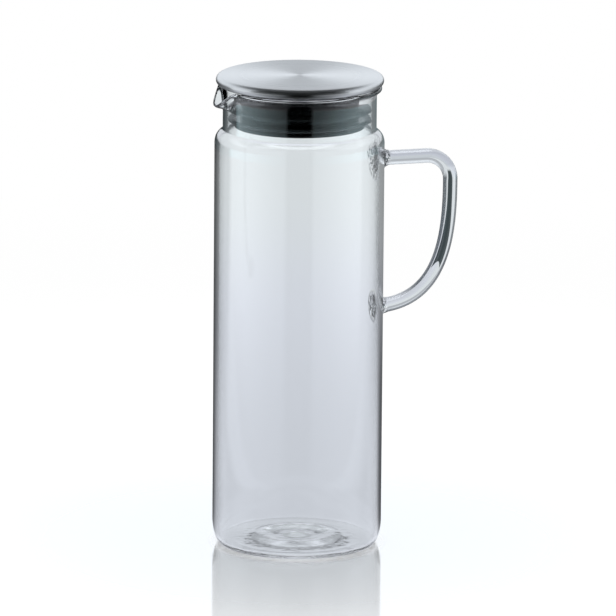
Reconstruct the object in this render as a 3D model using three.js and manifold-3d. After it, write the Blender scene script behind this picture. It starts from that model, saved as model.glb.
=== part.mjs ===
// A glass pitcher with a welded rod handle and a steel-topped stopper lid.
// Millimetres, +Z up. The origin is the middle of the base, on the surface that the pitcher stands on.
// The handle points to +X and the spout to -X.
import * as THREE from "three";
import { mergeVertices } from "three/addons/utils/BufferGeometryUtils.js";
import Module from "manifold-3d";

const wasm = await Module();
wasm.setup();

const degrees = THREE.MathUtils.degToRad;
const QUARTER = Math.PI / 2; // a quarter turn

// Vessel: wall, base and shoulder
const BODY_RADIUS = 50; // outside of the straight wall
const WALL = 2.7; // glass of the wall, the shoulder, the neck and the lip
const BASE_THICKNESS = 3; // glass under the edge of the inside floor
const FOOT_CORNER_WIDTH = 5.3; // the outside corner is a quarter of an ellipse, this wide
const FOOT_CORNER_HEIGHT = 14.5; // and this high
const FLOOR_RISE = 1.2; // how much thicker the base is in its middle
const RIPPLE_HEIGHT = 1.5; // rings that blowing leaves on the inside floor, trough to crest
const RIPPLE_SPACING = 21.5; // from the middle to the first ring's crest
const RIPPLE_REACH = 34.4; // from the middle to where the rings have died away
const SHOULDER_HEIGHT = 241; // where the straight wall ends
const SHOULDER_RISE = 9; // from there to the foot of the neck
const SHOULDER_ROUNDING = 6.5; // how far up the wall's direction carries into the shoulder
const NECK_FILLET = 2; // how far down the neck's direction carries into the shoulder
const SHOULDER_STEP = 4.8; // how much narrower the neck is than the wall, at each side

// Vessel: neck, flared lip and spout
const NECK_HEIGHT = 25.3; // from the foot of the neck to the top of the lip
const FLARE_RADIUS = 6.1; // bend of the lip, at the middle of the glass
const FLARE_ANGLE = degrees(60); // how far the lip leans out
const SPOUT_REACH = 5.2; // how far the spout stands out past the lip
const SPOUT_DROP = 9.4; // how far the spout's edge lies under the lip
const SPOUT_HALF_ANGLE = degrees(21); // from the middle of the spout to where the lip is round again
const SPOUT_ROOT_DEPTH = 17.5; // under the lip, where the neck starts to give way to the spout
const SPOUT_THROAT_DEPTH = 6.5; // under the lip, where the spout starts to lean out

// Handle
const ROD_DIAMETER = 8.6;
const HANDLE_TOP_DEPTH = 11.9; // from the shoulder down to the middle of the straight upper bar
const HANDLE_DROP = 89.2; // from the bar to the middle of the lower end
const FINGER_ROOM = 39; // from the wall to the upright part of the rod
const HANDLE_CORNER = 15; // bend between the bar and the upright part, at the rod's middle
const UPRIGHT_PULL = 32; // how far the upright's direction carries into the lower sweep
const LOWER_PULL = 43; // how far the lower end's direction carries into it
const UPPER_FOOT_DIAMETER = 18; // the melted feet, where they meet the wall
const LOWER_FOOT_DIAMETER = 13.5;
const FOOT_LENGTH = 6.5; // from the wall to where the foot has narrowed to the rod
const WELD_GAP = 0.3; // between the feet and the wall

// Lid
const SEAT_GAP = 0.3; // between the lid's hem and the lip that it rests on
const FIT_GAP = 0.3; // between the pieces of the lid, and between the seals and the neck
const CAP_HEIGHT = 5.8;
const CAP_OVERHANG = 1.1; // past the lip
const CAP_SHEET = 0.8; // steel
const CAP_HEM = 1.6; // how far the sheet turns in past its rounded edge
const PLUG_DEPTH = 24.3; // from the hem to the foot of the plug
const PLUG_WALL = 3.4;
const PLUG_FLOOR = 2.2;
const PLUG_FOOT_HEIGHT = 1.7; // the flange under the lower seal
const PLUG_FOOT_CHAMFER = 0.5;
const SEAL_ROOM = 8.2; // between the plug and the neck, bridged by the seals
const SEAL_GROOVE = 1.2; // how deep the seals sit in the plug
const LIP_TIP = 0.8; // radius of the seals' rounded edges
const UPPER_SEAL_HEIGHT = 3;
const LOWER_SEAL_HEIGHT = 3.6;
const SEAL_SPACING = 3.8; // from the top of the lower seal to the foot of the upper one
const LOWER_SEAL_TAPER = 3; // how much narrower the lower seal is at its foot

// Fineness of the round shapes
const VESSEL_SIDES = 64;
const LID_SIDES = 48;
const ROD_SIDES = 14;
const ROD_STEPS = 36;
const FOOT_SIDES = 20;
const SHOULDER_STEPS = 5;
const NECK_STEPS = 4;
const FLOOR_STEPS = 10;
const BEND_STEPS = 4;
const CORNER_STEPS = 5;
const EDGE_STEPS = 6;
const MERGE_DISTANCE = 1e-4; // points of one solid that lie closer than this are one point

// Sizes that follow from those above
const footRadius = BODY_RADIUS - FOOT_CORNER_WIDTH;
const neckRadius = BODY_RADIUS - SHOULDER_STEP;
const neckBore = neckRadius - WALL;
const neckMiddle = neckRadius - WALL / 2;
const neckFootHeight = SHOULDER_HEIGHT + SHOULDER_RISE;
const rimHeight = neckFootHeight + NECK_HEIGHT;
const flareCentre = neckMiddle + FLARE_RADIUS;
const flareHeight = rimHeight - WALL / 2 - FLARE_RADIUS * Math.sin(FLARE_ANGLE);
const lipMiddle = flareCentre - FLARE_RADIUS * Math.cos(FLARE_ANGLE);
const rimRadius = lipMiddle + WALL / 2;
const seatHeight = rimHeight + SEAT_GAP;
const handleTopHeight = SHOULDER_HEIGHT - HANDLE_TOP_DEPTH;
const capRadius = rimRadius + CAP_OVERHANG;
const capEdge = CAP_HEIGHT / 2;
const capEdgeRadius = capRadius - capEdge;
const capMiddleHeight = seatHeight + capEdge;
const capTopHeight = seatHeight + CAP_HEIGHT;
const plugRadius = neckBore - SEAL_ROOM;
const grooveRadius = plugRadius - SEAL_GROOVE;
const plugFootHeight = seatHeight - PLUG_DEPTH;
const lipRadius = neckBore - FIT_GAP;
const lowerSealHeight = plugFootHeight + PLUG_FOOT_HEIGHT + FIT_GAP;
const upperSealHeight = lowerSealHeight + LOWER_SEAL_HEIGHT + SEAL_SPACING;

const point = (radius, height) => new THREE.Vector2(radius, height);

// Points of an arc of an ellipse, angles counted from the outward direction.
function arc(centreRadius, centreHeight, width, height, from, to, steps) {
  const curve = new THREE.EllipseCurve(centreRadius, centreHeight, width, height, from, to, to < from);
  return curve.getPoints(steps);
}

// A turned solid about Z from an outline of radius and height that starts and ends alike or on the axis.
function turned(outline, sides) {
  const geometry = new THREE.LatheGeometry(outline, sides);
  return geometry.rotateX(QUARTER);
}

// A closed geometry as a solid that can be joined and cut.
function solidOf(geometry) {
  const bare = geometry.clone();
  bare.deleteAttribute("normal");
  bare.deleteAttribute("uv");
  const merged = mergeVertices(bare, MERGE_DISTANCE);
  return new wasm.Manifold(
    new wasm.Mesh({
      numProp: 3,
      vertProperties: merged.attributes.position.array,
      triVerts: new Uint32Array(merged.index.array),
    }),
  );
}

// The geometry of a joined or cut solid.
function geometryOf(solid) {
  const mesh = solid.getMesh();
  const geometry = new THREE.BufferGeometry();
  geometry.setAttribute("position", new THREE.BufferAttribute(mesh.vertProperties, 3));
  geometry.setIndex(new THREE.BufferAttribute(mesh.triVerts, 1));
  geometry.computeVertexNormals();
  return geometry;
}

// The shoulder's curve from the wall to the neck, some depth inside the glass.
function shoulder(depth) {
  const curve = new THREE.CubicBezierCurve(
    point(BODY_RADIUS, SHOULDER_HEIGHT),
    point(BODY_RADIUS, SHOULDER_HEIGHT + SHOULDER_ROUNDING),
    point(neckRadius, neckFootHeight - NECK_FILLET),
    point(neckRadius, neckFootHeight),
  );
  const points = [];
  for (let i = 0; i <= SHOULDER_STEPS; i += 1) {
    const place = curve.getPoint(i / SHOULDER_STEPS);
    const along = curve.getTangent(i / SHOULDER_STEPS);
    points.push(point(place.x - depth * along.y, place.y + depth * along.x));
  }
  return points;
}

// The straight neck up to the flare, with points for the spout to bend, without its two ends.
function neckPoints(radius) {
  const points = [];
  for (let i = 1; i < NECK_STEPS; i += 1) {
    points.push(point(radius, THREE.MathUtils.lerp(neckFootHeight, flareHeight, i / NECK_STEPS)));
  }
  return points;
}

// The rippled inside floor, from its corner to the axis.
function floorPoints() {
  const points = [];
  for (let i = 1; i <= FLOOR_STEPS; i += 1) {
    const radius = footRadius * (1 - i / FLOOR_STEPS);
    const rise = FLOOR_RISE * (1 - (radius / footRadius) ** 2);
    const fade = 1 - THREE.MathUtils.smoothstep(radius, RIPPLE_SPACING, RIPPLE_REACH);
    const wave = (1 + Math.cos((2 * Math.PI * radius) / RIPPLE_SPACING)) / 2;
    points.push(point(radius, BASE_THICKNESS + rise + RIPPLE_HEIGHT * wave * fade));
  }
  return points;
}

// Draws the spout out of the lip by moving the points of the round vessel near -X.
function drawSpout(geometry) {
  const place = geometry.attributes.position;
  for (let i = 0; i < place.count; i += 1) {
    const radius = Math.hypot(place.getX(i), place.getY(i));
    const angle = Math.atan2(place.getY(i), -place.getX(i));
    const depth = rimHeight - place.getZ(i);
    const share = Math.cos(Math.min(Math.abs(angle) / SPOUT_HALF_ANGLE, 1) * QUARTER) ** 2;
    const sink = THREE.MathUtils.smoothstep(SPOUT_ROOT_DEPTH - depth, 0, SPOUT_ROOT_DEPTH);
    const lean = THREE.MathUtils.clamp(1 - depth / SPOUT_THROAT_DEPTH, 0, 1) ** 2;
    const moved = radius + SPOUT_REACH * share * lean;
    place.setX(i, -moved * Math.cos(angle));
    place.setY(i, moved * Math.sin(angle));
    place.setZ(i, rimHeight - depth - SPOUT_DROP * share * sink);
  }
}

function makeGlassBody() {
  const floorCornerWidth = FOOT_CORNER_WIDTH - WALL;
  const floorCornerHeight = FOOT_CORNER_HEIGHT - BASE_THICKNESS;
  const flareOutside = FLARE_RADIUS - WALL / 2;
  const flareInside = FLARE_RADIUS + WALL / 2;
  const leaning = Math.PI - FLARE_ANGLE;
  const lipRound = WALL / 2;
  const lipTip = arc(lipMiddle, rimHeight - lipRound, lipRound, lipRound, -FLARE_ANGLE, leaning, EDGE_STEPS);
  const outline = [
    point(0, 0),
    ...arc(footRadius, FOOT_CORNER_HEIGHT, FOOT_CORNER_WIDTH, FOOT_CORNER_HEIGHT, -QUARTER, 0, CORNER_STEPS),
    ...shoulder(0),
    ...neckPoints(neckRadius),
    ...arc(flareCentre, flareHeight, flareOutside, flareOutside, Math.PI, leaning, BEND_STEPS),
    ...lipTip.slice(1, -1),
    ...arc(flareCentre, flareHeight, flareInside, flareInside, leaning, Math.PI, BEND_STEPS),
    ...neckPoints(neckBore).reverse(),
    ...shoulder(WALL).reverse(),
    ...arc(footRadius, FOOT_CORNER_HEIGHT, floorCornerWidth, floorCornerHeight, 0, -QUARTER, CORNER_STEPS),
    ...floorPoints(),
  ];
  const geometry = turned(outline, VESSEL_SIDES);
  drawSpout(geometry);
  return geometry;
}

// The rod's middle line in the XZ plane: a straight bar, a round corner and one long sweep back to the wall.
function handleCurve() {
  const top = handleTopHeight;
  const foot = top - HANDLE_DROP;
  const reach = BODY_RADIUS + FINGER_ROOM + ROD_DIAMETER / 2;
  const start = BODY_RADIUS - WALL;
  const quarter = (4 / 3) * Math.tan(Math.PI / 8) * HANDLE_CORNER;
  const at = (x, z) => new THREE.Vector3(x, 0, z);
  const path = new THREE.CurvePath();
  path.add(new THREE.LineCurve3(at(start, top), at(reach - HANDLE_CORNER, top)));
  path.add(
    new THREE.CubicBezierCurve3(
      at(reach - HANDLE_CORNER, top),
      at(reach - HANDLE_CORNER + quarter, top),
      at(reach, top - HANDLE_CORNER + quarter),
      at(reach, top - HANDLE_CORNER),
    ),
  );
  path.add(
    new THREE.CubicBezierCurve3(
      at(reach, top - HANDLE_CORNER),
      at(reach, top - HANDLE_CORNER - UPRIGHT_PULL),
      at(start + LOWER_PULL, foot),
      at(start, foot),
    ),
  );
  return path;
}

// A melted foot: a trumpet about X that narrows from the wall to the rod.
function handleFoot(diameter, height) {
  const rodRadius = ROD_DIAMETER / 2;
  const start = BODY_RADIUS - WALL;
  const end = BODY_RADIUS + FOOT_LENGTH;
  const outline = [
    point(0, start),
    point(diameter / 2, start),
    ...arc(diameter / 2, end, diameter / 2 - rodRadius, FOOT_LENGTH, 3 * QUARTER, Math.PI, CORNER_STEPS),
    point(0, end),
  ];
  const geometry = new THREE.LatheGeometry(outline, FOOT_SIDES);
  return geometry.rotateZ(-QUARTER).translate(0, 0, height);
}

function makeGlassHandle() {
  const section = new THREE.Shape();
  section.absarc(0, 0, ROD_DIAMETER / 2, 0, 2 * Math.PI);
  const rod = new THREE.ExtrudeGeometry(section, {
    steps: ROD_STEPS,
    curveSegments: ROD_SIDES / 2,
    extrudePath: handleCurve(),
  });
  const wall = new THREE.CylinderGeometry(
    BODY_RADIUS + WELD_GAP,
    BODY_RADIUS + WELD_GAP,
    handleTopHeight,
    2 * VESSEL_SIDES,
  );
  wall.rotateX(QUARTER).translate(0, 0, handleTopHeight - HANDLE_DROP / 2);
  const solid = solidOf(rod)
    .add(solidOf(handleFoot(UPPER_FOOT_DIAMETER, handleTopHeight)))
    .add(solidOf(handleFoot(LOWER_FOOT_DIAMETER, handleTopHeight - HANDLE_DROP)))
    .subtract(solidOf(wall));
  return geometryOf(solid);
}

// Drawn sheet with a rounded edge and a hem turned in underneath.
function makeLidCap() {
  const inside = capEdge - CAP_SHEET;
  const hemRadius = capEdgeRadius - CAP_HEM;
  const outline = [
    point(0, capTopHeight - CAP_SHEET),
    ...arc(capEdgeRadius, capMiddleHeight, inside, inside, QUARTER, -QUARTER, EDGE_STEPS),
    point(hemRadius, seatHeight + CAP_SHEET),
    point(hemRadius, seatHeight),
    ...arc(capEdgeRadius, capMiddleHeight, capEdge, capEdge, -QUARTER, QUARTER, EDGE_STEPS),
    point(0, capTopHeight),
  ];
  return turned(outline, LID_SIDES);
}

// A cup that the cap closes, with a flange inside the cap's edge and a groove for each seal.
function makeLidPlug() {
  const flangeEdge = capEdge - CAP_SHEET - FIT_GAP;
  const flangeTop = capMiddleHeight + flangeEdge;
  const flangeFoot = capMiddleHeight - flangeEdge;
  const footRadius = lipRadius - LOWER_SEAL_TAPER - LIP_TIP;
  const lowerGrooveFoot = lowerSealHeight - FIT_GAP;
  const lowerGrooveTop = lowerSealHeight + LOWER_SEAL_HEIGHT + FIT_GAP;
  const upperGrooveFoot = upperSealHeight - FIT_GAP;
  const upperGrooveTop = upperSealHeight + UPPER_SEAL_HEIGHT + FIT_GAP;
  const cupRadius = plugRadius - PLUG_WALL;
  const outline = [
    point(0, plugFootHeight),
    point(footRadius - PLUG_FOOT_CHAMFER, plugFootHeight),
    point(footRadius, plugFootHeight + PLUG_FOOT_CHAMFER),
    point(footRadius, lowerGrooveFoot),
    point(grooveRadius, lowerGrooveFoot),
    point(grooveRadius, lowerGrooveTop),
    point(plugRadius, lowerGrooveTop),
    point(plugRadius, upperGrooveFoot),
    point(grooveRadius, upperGrooveFoot),
    point(grooveRadius, upperGrooveTop),
    point(plugRadius, upperGrooveTop),
    point(plugRadius, flangeFoot),
    ...arc(capEdgeRadius, capMiddleHeight, flangeEdge, flangeEdge, -QUARTER, QUARTER, EDGE_STEPS),
    point(cupRadius, flangeTop),
    point(cupRadius, plugFootHeight + PLUG_FLOOR),
    point(0, plugFootHeight + PLUG_FLOOR),
  ];
  return turned(outline, LID_SIDES);
}

// A flat sealing lip whose edge is rounded.
function makeUpperSeal() {
  const foot = upperSealHeight;
  const top = foot + UPPER_SEAL_HEIGHT;
  const inside = grooveRadius + FIT_GAP;
  const middle = (foot + top) / 2;
  const outline = [
    point(inside, foot),
    ...arc(lipRadius - LIP_TIP, middle, LIP_TIP, LIP_TIP, -QUARTER, QUARTER, BEND_STEPS),
    point(inside, top),
    point(inside, foot),
  ];
  return turned(outline, LID_SIDES);
}

// A deeper lip, widest at its top and drawn in towards its foot.
function makeLowerSeal() {
  const foot = lowerSealHeight;
  const top = foot + LOWER_SEAL_HEIGHT;
  const inside = grooveRadius + FIT_GAP;
  const outline = [
    point(inside, foot),
    point(lipRadius - LIP_TIP - LOWER_SEAL_TAPER, foot),
    ...arc(lipRadius - LIP_TIP, top - LIP_TIP, LIP_TIP, LIP_TIP, -Math.PI / 6, QUARTER, BEND_STEPS),
    point(inside, top),
    point(inside, foot),
  ];
  return turned(outline, LID_SIDES);
}

const clearGlass = { color: 0xe9eeee, roughness: 0.02, metalness: 0, transparent: true, opacity: 0.3 };
const brushedSteel = { color: 0xc9cbcd, roughness: 0.32, metalness: 1 };
const darkPlastic = { color: 0x101214, roughness: 0.35, metalness: 0 };
const darkSilicone = { color: 0x17191b, roughness: 0.6, metalness: 0 };

const pieces = [
  ["glass_body", makeGlassBody(), clearGlass],
  ["glass_handle", makeGlassHandle(), clearGlass],
  ["lid_cap", makeLidCap(), brushedSteel],
  ["lid_plug", makeLidPlug(), darkPlastic],
  ["upper_seal", makeUpperSeal(), darkSilicone],
  ["lower_seal", makeLowerSeal(), darkSilicone],
];

const pitcher = new THREE.Group();
for (const [name, geometry, finish] of pieces) {
  const mesh = new THREE.Mesh(geometry, new THREE.MeshStandardMaterial(finish));
  mesh.name = name;
  pitcher.add(mesh);
}

export default pitcher;
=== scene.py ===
"""The looks of a glass pitcher with a welded rod handle and a steel-topped stopper lid. Metres, +Z up."""
import math
from collections import namedtuple

import bpy
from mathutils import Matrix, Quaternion, Vector, noise


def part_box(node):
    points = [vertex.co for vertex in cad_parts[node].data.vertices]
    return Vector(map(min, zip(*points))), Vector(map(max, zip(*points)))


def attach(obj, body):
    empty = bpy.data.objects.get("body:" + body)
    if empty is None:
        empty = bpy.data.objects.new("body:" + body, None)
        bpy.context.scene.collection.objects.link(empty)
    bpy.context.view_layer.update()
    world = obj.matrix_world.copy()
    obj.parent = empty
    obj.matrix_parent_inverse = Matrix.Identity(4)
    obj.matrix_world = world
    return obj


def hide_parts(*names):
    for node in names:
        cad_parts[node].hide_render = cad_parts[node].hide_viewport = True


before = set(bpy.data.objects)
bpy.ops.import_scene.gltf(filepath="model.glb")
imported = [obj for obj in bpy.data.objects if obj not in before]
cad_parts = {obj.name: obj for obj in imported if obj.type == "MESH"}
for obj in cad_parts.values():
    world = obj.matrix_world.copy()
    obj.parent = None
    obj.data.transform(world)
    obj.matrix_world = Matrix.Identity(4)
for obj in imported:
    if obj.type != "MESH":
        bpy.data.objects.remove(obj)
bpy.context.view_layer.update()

MM = 0.001
QUARTER = math.pi / 2
QUARTER_PULL = 4 / 3 * math.tan(math.pi / 8)  # for a cubic curve that draws a quarter circle

# Vessel
WALL = 2.7 * MM  # glass of the wall, the shoulder, the neck and the lip
BASE_THICKNESS = 3 * MM  # glass under the edge of the inside floor
FOOT_CORNER_WIDTH = 5.3 * MM  # the outside corner is a quarter of an ellipse, this wide
FOOT_CORNER_HEIGHT = 14.5 * MM  # and this high
FLOOR_RISE = 1.2 * MM  # how much thicker the middle of the base is
RIPPLE_HEIGHT = 1.5 * MM  # rings on the inside floor, trough to crest
RIPPLE_SPACING = 21.5 * MM
RIPPLE_REACH = 34.4 * MM  # radius where the rings have died away
SHOULDER_RISE = 9 * MM  # from the end of the straight wall to the foot of the neck
SHOULDER_ROUNDING = 6.5 * MM
NECK_FILLET = 2 * MM
SHOULDER_STEP = 4.8 * MM  # how much narrower the neck is than the wall, at each side
NECK_HEIGHT = 25.3 * MM  # from the foot of the neck to the top of the lip
FLARE_RADIUS = 6.1 * MM  # bend of the lip, at the middle of the glass
FLARE_ANGLE = math.radians(60)
SPOUT_REACH = 5.2 * MM  # how far the lip is drawn out
SPOUT_DROP = 9.4 * MM  # how far it is drawn down
SPOUT_HALF_ANGLE = math.radians(21)
SPOUT_ROOT_DEPTH = 17.5 * MM  # under the rim, where the glass starts to go down
SPOUT_THROAT_DEPTH = 6.5 * MM  # under the rim, where it starts to go out

# Handle
ROD_RADIUS = 4.3 * MM
HANDLE_TOP_DEPTH = 11.9 * MM  # from the shoulder down to the middle of the straight upper bar
HANDLE_DROP = 89.2 * MM  # from the bar to the middle of the lower end
FINGER_ROOM = 39 * MM  # from the wall to the upright part of the rod
HANDLE_CORNER = 15 * MM  # bend from the bar to the upright part
UPRIGHT_PULL = 32 * MM  # how far the sweep below keeps to the upright
LOWER_PULL = 43 * MM  # and how far it keeps level at its lower end
UPPER_FOOT_RADIUS = 9 * MM
LOWER_FOOT_RADIUS = 6.75 * MM
FOOT_LENGTH = 6.5 * MM
WELD_DEPTH = 1 * MM  # how far the feet are melted into the wall
WELD_CRINKLE = 0.55 * MM  # unevenness of the melted feet
CRINKLE_SIZE = 1.7 * MM
CRINKLE_KIND = (0.8, 2.0, 2)  # roughness, step between octaves and number of octaves

# Lid
FIT_GAP = 0.3 * MM
CAP_SHEET = 0.8 * MM
CAP_HEM = 1.6 * MM
PLUG_WALL = 3.4 * MM
PLUG_FLOOR = 2.2 * MM
SEAL_ROOM = 8.2 * MM  # between the plug and the neck
SEAL_GROOVE = 1.2 * MM
LIP_TIP = 0.8 * MM
LOWER_SEAL_TAPER = 3 * MM
LOWER_LIP_TURN = math.radians(-30)  # where the rounding of the lower lip starts
EDGE_ROUND = 0.3 * MM  # small rounding of moulded edges

# Fineness
VESSEL_SIDES = 192
LID_SIDES = 160
ROD_SIDES = 72
ON_AXIS = 1e-7  # a smaller radius is a point on the axis
WALL_STEP = 4 * MM
NECK_STEP = 1 * MM
FOOT_STEP = 0.4 * MM  # along the handle's feet
BAR_STEP = 1.5 * MM  # along its straight bar
CURVE_STEPS = 24  # of the base's corner, the shoulder and the handle's bend
LIP_STEPS = 12  # of the flare and of the sealing lips
RIM_STEPS = 14
FLOOR_STEPS = 60
SWEEP_STEPS = 200  # of the handle's sweep, near its foot
SWEEP_SKIP = 3  # away from the foot only each third point is used
FOOT_RINGS = 18  # across the end of a foot
WRINKLE_RINGS = 3  # over which its wrinkles grow
CAP_EDGE_STEPS = 32
CAP_INSIDE_STEPS = 16

# Places that the frame gives
body_low, body_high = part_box("glass_body")
cap_low, cap_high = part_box("lid_cap")
plug_low, plug_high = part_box("lid_plug")
upper_low, upper_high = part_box("upper_seal")
lower_low, lower_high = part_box("lower_seal")
body_radius = body_high.y
foot_edge = body_radius - FOOT_CORNER_WIDTH
rim_height = body_high.z
neck_foot = rim_height - NECK_HEIGHT
shoulder_height = neck_foot - SHOULDER_RISE
neck_radius = body_radius - SHOULDER_STEP
neck_bore = neck_radius - WALL
flare_centre = neck_radius - WALL / 2 + FLARE_RADIUS
flare_height = rim_height - WALL / 2 - FLARE_RADIUS * math.sin(FLARE_ANGLE)
lip_middle = flare_centre - FLARE_RADIUS * math.cos(FLARE_ANGLE)
handle_top = shoulder_height - HANDLE_TOP_DEPTH
plug_radius = neck_bore - SEAL_ROOM
groove_radius = plug_radius - SEAL_GROOVE
lip_radius = neck_bore - FIT_GAP


def smoothstep(value, low, high):
    share = min(max((value - low) / (high - low), 0), 1)
    return share * share * (3 - 2 * share)


def mesh_object(name, points, faces):
    """A smooth shaded mesh object."""
    mesh = bpy.data.meshes.new(name)
    mesh.from_pydata(points, [], faces)
    mesh.polygons.foreach_set("use_smooth", [True] * len(mesh.polygons))
    made = bpy.data.objects.new(name, mesh)
    bpy.context.scene.collection.objects.link(made)
    return made


def line(start, end, step):
    """Points from start up to end, without end."""
    count = max(1, round(math.dist(start, end) / step))
    return [tuple(a + (b - a) * i / count for a, b in zip(start, end)) for i in range(count)]


def arc(centre, width, height, begin, finish, steps):
    """Points of an arc of an ellipse, both ends included."""
    turns = [begin + (finish - begin) * i / steps for i in range(steps + 1)]
    return [(centre[0] + width * math.cos(t), centre[1] + height * math.sin(t)) for t in turns]


def bezier(a, b, c, d, steps):
    """Points of a cubic curve, both ends included."""
    points = []
    for i in range(steps + 1):
        t = i / steps
        weights = ((1 - t) ** 3, 3 * t * (1 - t) ** 2, 3 * t * t * (1 - t), t ** 3)
        points.append(tuple(sum(w * p[k] for w, p in zip(weights, (a, b, c, d))) for k in range(len(a))))
    return points


def rounded(corners, steps=5):
    """A closed or axis to axis outline through corners of (radius, height, rounding)."""
    points = []
    for i, (radius, height, rounding) in enumerate(corners):
        here = Vector((radius, height))
        if rounding == 0:
            points.append(tuple(here))
            continue
        before = (Vector(corners[i - 1][:2]) - here).normalized()
        after = (Vector(corners[(i + 1) % len(corners)][:2]) - here).normalized()
        half = before.angle(after) / 2
        reach = rounding / math.tan(half)
        centre = here + (before + after).normalized() * (rounding / math.sin(half))
        first = here + before * reach - centre
        last = here + after * reach - centre
        sweep = first.angle_signed(last)
        for k in range(steps + 1):
            turn = -sweep * k / steps
            cos, sin = math.cos(turn), math.sin(turn)
            x = centre.x + first.x * cos - first.y * sin
            y = centre.y + first.x * sin + first.y * cos
            points.append((x, y))
    return points


def turned(name, outline, sides, closed=False):
    """A solid turned about Z from an outline that closes on itself or starts and ends on the axis."""
    points, rings, faces = [], [], []
    for radius, height in outline:
        count = sides if radius > ON_AXIS else 1
        rings.append(range(len(points), len(points) + count))
        for i in range(count):
            turn = 2 * math.pi * i / sides
            points.append((radius * math.cos(turn), radius * math.sin(turn), height))
    if closed:
        rings.append(rings[0])
    for lower, upper in zip(rings, rings[1:]):
        for i in range(sides):
            j = (i + 1) % sides
            if len(lower) == 1:
                faces.append((lower[0], upper[j], upper[i]))
            elif len(upper) == 1:
                faces.append((lower[i], lower[j], upper[0]))
            else:
                faces.append((lower[i], lower[j], upper[j], upper[i]))
    return mesh_object(name, points, faces)


# Shapes of the vessel

def shoulder():
    """The outside curve from the wall to the neck."""
    return bezier(
        (body_radius, shoulder_height),
        (body_radius, shoulder_height + SHOULDER_ROUNDING),
        (neck_radius, neck_foot - NECK_FILLET),
        (neck_radius, neck_foot),
        CURVE_STEPS,
    )


def inner_side(curve):
    """A curve that runs along inside another, one glass thickness away."""
    points = []
    last = len(curve) - 1
    for i, (radius, height) in enumerate(curve):
        before, after = curve[max(i - 1, 0)], curve[min(i + 1, last)]
        along = Vector((after[0] - before[0], after[1] - before[1])).normalized()
        if i in (0, last):
            along = Vector((0, 1))
        points.append((radius - WALL * along.y, height + WALL * along.x))
    return points


def floor_points():
    """The rippled inside floor, from its corner to the axis."""
    points = []
    for i in range(1, FLOOR_STEPS + 1):
        radius = foot_edge * (1 - i / FLOOR_STEPS)
        fade = 1 - smoothstep(radius, RIPPLE_SPACING, RIPPLE_REACH)
        wave = (1 + math.cos(2 * math.pi * radius / RIPPLE_SPACING)) / 2
        rise = FLOOR_RISE * (1 - (radius / foot_edge) ** 2)
        points.append((radius, BASE_THICKNESS + rise + RIPPLE_HEIGHT * wave * fade))
    return points


def draw_spout(mesh):
    """Draws the spout out of the lip by moving the points near -X."""
    for vertex in mesh.vertices:
        x, y, z = vertex.co
        radius = math.hypot(x, y)
        angle = math.atan2(y, -x)
        depth = rim_height - z
        share = math.cos(min(abs(angle) / SPOUT_HALF_ANGLE, 1) * QUARTER) ** 2
        sink = smoothstep(SPOUT_ROOT_DEPTH - depth, 0, SPOUT_ROOT_DEPTH)
        lean = min(max(1 - depth / SPOUT_THROAT_DEPTH, 0), 1) ** 2
        radius += SPOUT_REACH * share * lean
        vertex.co = (-radius * math.cos(angle), radius * math.sin(angle), z - SPOUT_DROP * share * sink)


def make_body():
    foot = (foot_edge, FOOT_CORNER_HEIGHT)
    leaning = math.pi - FLARE_ANGLE
    flare = (flare_centre, flare_height)
    outside, inside = FLARE_RADIUS - WALL / 2, FLARE_RADIUS + WALL / 2
    bore = body_radius - WALL
    outline = line((0, 0), (foot[0], 0), WALL_STEP)
    outline += arc(foot, FOOT_CORNER_WIDTH, FOOT_CORNER_HEIGHT, -QUARTER, 0, CURVE_STEPS)[:-1]
    outline += line((body_radius, foot[1]), (body_radius, shoulder_height), WALL_STEP)
    outline += shoulder()[:-1]
    outline += line((neck_radius, neck_foot), (neck_radius, flare_height), NECK_STEP)
    outline += arc(flare, outside, outside, math.pi, leaning, LIP_STEPS)[:-1]
    rim = (lip_middle, rim_height - WALL / 2)
    outline += arc(rim, WALL / 2, WALL / 2, -FLARE_ANGLE, leaning, RIM_STEPS)
    outline += arc(flare, inside, inside, leaning, math.pi, LIP_STEPS)[1:-1]
    outline += line((neck_bore, flare_height), (neck_bore, neck_foot), NECK_STEP)
    outline += inner_side(shoulder())[:0:-1]
    outline += line((bore, shoulder_height), (bore, foot[1]), WALL_STEP)
    inner_corner = (FOOT_CORNER_WIDTH - WALL, FOOT_CORNER_HEIGHT - BASE_THICKNESS)
    outline += arc(foot, *inner_corner, 0, -QUARTER, CURVE_STEPS)
    outline += floor_points()
    made = turned("blown_body", outline, VESSEL_SIDES)
    draw_spout(made.data)
    return made


def handle_line():
    """The rod's middle line in the XZ plane, from inside the wall round to inside the wall again."""
    foot = handle_top - HANDLE_DROP
    reach = body_radius + FINGER_ROOM + ROD_RADIUS
    start = body_radius - WELD_DEPTH
    foot_end = start + 2 * FOOT_LENGTH
    pull = QUARTER_PULL * HANDLE_CORNER
    bend = reach - HANDLE_CORNER
    origin = body_radius - WALL
    path = line((start, handle_top), (foot_end, handle_top), FOOT_STEP)
    path += line((foot_end, handle_top), (bend, handle_top), BAR_STEP)
    path += bezier(
        (bend, handle_top),
        (bend + pull, handle_top),
        (reach, handle_top - HANDLE_CORNER + pull),
        (reach, handle_top - HANDLE_CORNER),
        CURVE_STEPS,
    )[:-1]
    sweep = bezier(
        (reach, handle_top - HANDLE_CORNER),
        (reach, handle_top - HANDLE_CORNER - UPRIGHT_PULL),
        (origin + LOWER_PULL, foot),
        (origin, foot),
        SWEEP_STEPS,
    )
    near = [p for p in sweep if p[0] > start]
    far = [p for p in near[::SWEEP_SKIP] if p[0] > foot_end]
    path += far + [p for p in near if p[0] < far[-1][0]]
    return path + [(start, foot)]


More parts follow.
